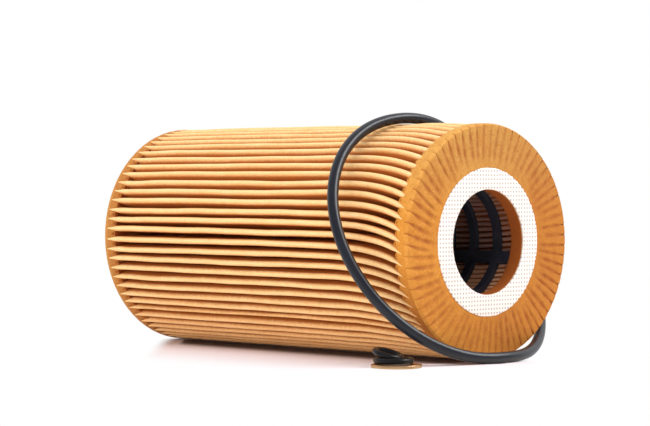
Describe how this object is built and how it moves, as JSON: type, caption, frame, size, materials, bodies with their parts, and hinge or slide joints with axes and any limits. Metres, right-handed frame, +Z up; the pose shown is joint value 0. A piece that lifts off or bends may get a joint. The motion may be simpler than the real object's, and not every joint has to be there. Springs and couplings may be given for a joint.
{
  "type": "cartridge oil filter element with seal kit",
  "caption": "Pleated paper oil filter cartridge on its side, with felt end discs, pale sealing rings, a ribbed core, a cover O-ring, two stem O-rings and a copper drain plug washer.",
  "frame": {"origin": "centre of the near bore's mouth, in the plane of the near sealing face", "axes": "+X along the element's axis, out of its near end; +Z up, with the element lying on its side"},
  "size_m": [0.1502, 0.0876, 0.0758],
  "materials": {
    "filter_paper": "matt resin-dipped filter paper, tan",
    "glue": "hot-melt glue, cream",
    "end_felt": "pressed felt, golden orange",
    "seal_mesh": "fine white mesh fleece",
    "core_plastic": "moulded black plastic",
    "rubber": "satin dark slate rubber",
    "copper": "bright copper with a light satin"
  },
  "bodies": {
    "element": {"pleated_medium": "filter_paper", "seam_glue": "glue", "near_end_disc": "end_felt", "far_end_disc": "end_felt", "near_seal_ring": "seal_mesh", "far_seal_ring": "seal_mesh", "support_core": "core_plastic"},
    "cover_ring": {"cover_o_ring": "rubber"},
    "washer": {"drain_plug_washer": "copper"},
    "lower_ring": {"lower_stem_o_ring": "rubber"},
    "upper_ring": {"upper_stem_o_ring": "rubber"}
  },
  "joints": [
    {"name": "cover_ring_off", "type": "slide", "parent": "element", "child": "cover_ring", "axis": [1, 0, 0], "range_m": [0, 0.06]},
    {"name": "washer_away", "type": "slide", "parent": "element", "child": "washer", "axis": [0, -1, 0], "range_m": [0, 0.03]},
    {"name": "lower_ring_off", "type": "slide", "parent": "washer", "child": "lower_ring", "axis": [0, -0.7071, 0.7071], "range_m": [0, 0.03]},
    {"name": "upper_ring_off", "type": "slide", "parent": "lower_ring", "child": "upper_ring", "axis": [0, -0.7071, 0.7071], "range_m": [0, 0.03]}
  ]
}
